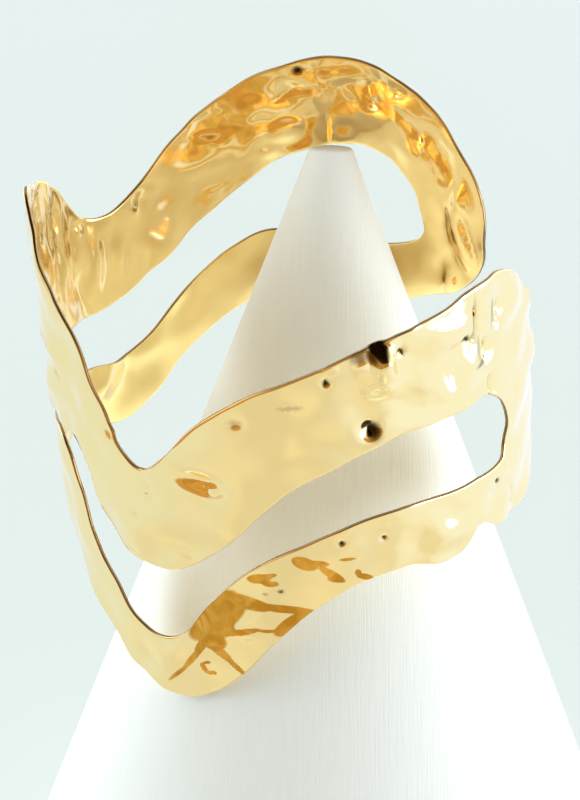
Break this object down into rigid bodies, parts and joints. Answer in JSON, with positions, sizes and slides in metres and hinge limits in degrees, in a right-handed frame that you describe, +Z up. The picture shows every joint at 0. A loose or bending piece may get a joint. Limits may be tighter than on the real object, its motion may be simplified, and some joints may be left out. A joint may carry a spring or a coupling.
{
  "type": "cuff bracelet on a display cone",
  "caption": "Open hammered gold cuff of two wavy bands joined at both ends, hanging tilted round the tip of a plain white display cone.",
  "frame": {"origin": "centre of the cone's flat base, on the surface it stands on", "axes": "+Z up along the cone's axis, -Y towards the viewer of the picture, +X to the viewer's right, where the cuff's opening is"},
  "size_m": [0.1002, 0.1002, 0.1349],
  "materials": {
    "gold_metal": "polished and hammered, pale gold outside and deeper gold inside",
    "white_cover": "matt fine-grained white cover"
  },
  "bodies": {
    "root": {"cuff": "gold_metal", "cone_stand": "white_cover"}
  },
  "joints": []
}
